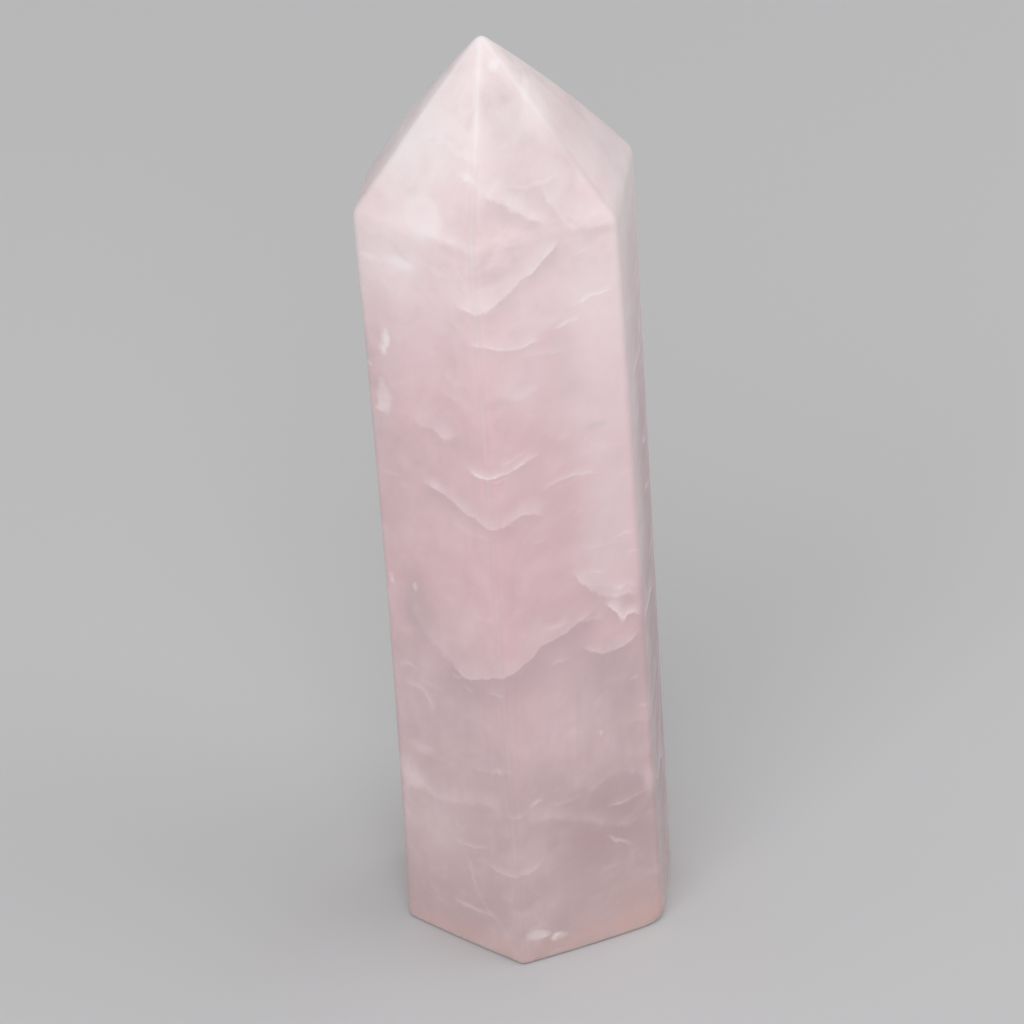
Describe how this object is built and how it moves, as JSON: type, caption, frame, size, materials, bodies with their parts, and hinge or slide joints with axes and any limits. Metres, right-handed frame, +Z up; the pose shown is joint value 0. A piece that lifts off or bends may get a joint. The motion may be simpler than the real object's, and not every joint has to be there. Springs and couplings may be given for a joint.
{
  "type": "rose quartz obelisk",
  "caption": "Polished milky-pink quartz point: a slightly leaning hexagonal column with a faceted pyramid tip, standing upright on its flat sawn base.",
  "frame": {"origin": "middle of the flat base that the stone stands on", "axes": "+Z up towards the tip, +Y away from someone who looks at the front, +X to the right; the column leans a little towards -X"},
  "size_m": [0.0306, 0.0288, 0.0944],
  "materials": {
    "rose_quartz": "polished, milky pink with paler clouds and healed-fracture veils"
  },
  "bodies": {
    "root": {"obelisk": "rose_quartz"}
  },
  "joints": []
}
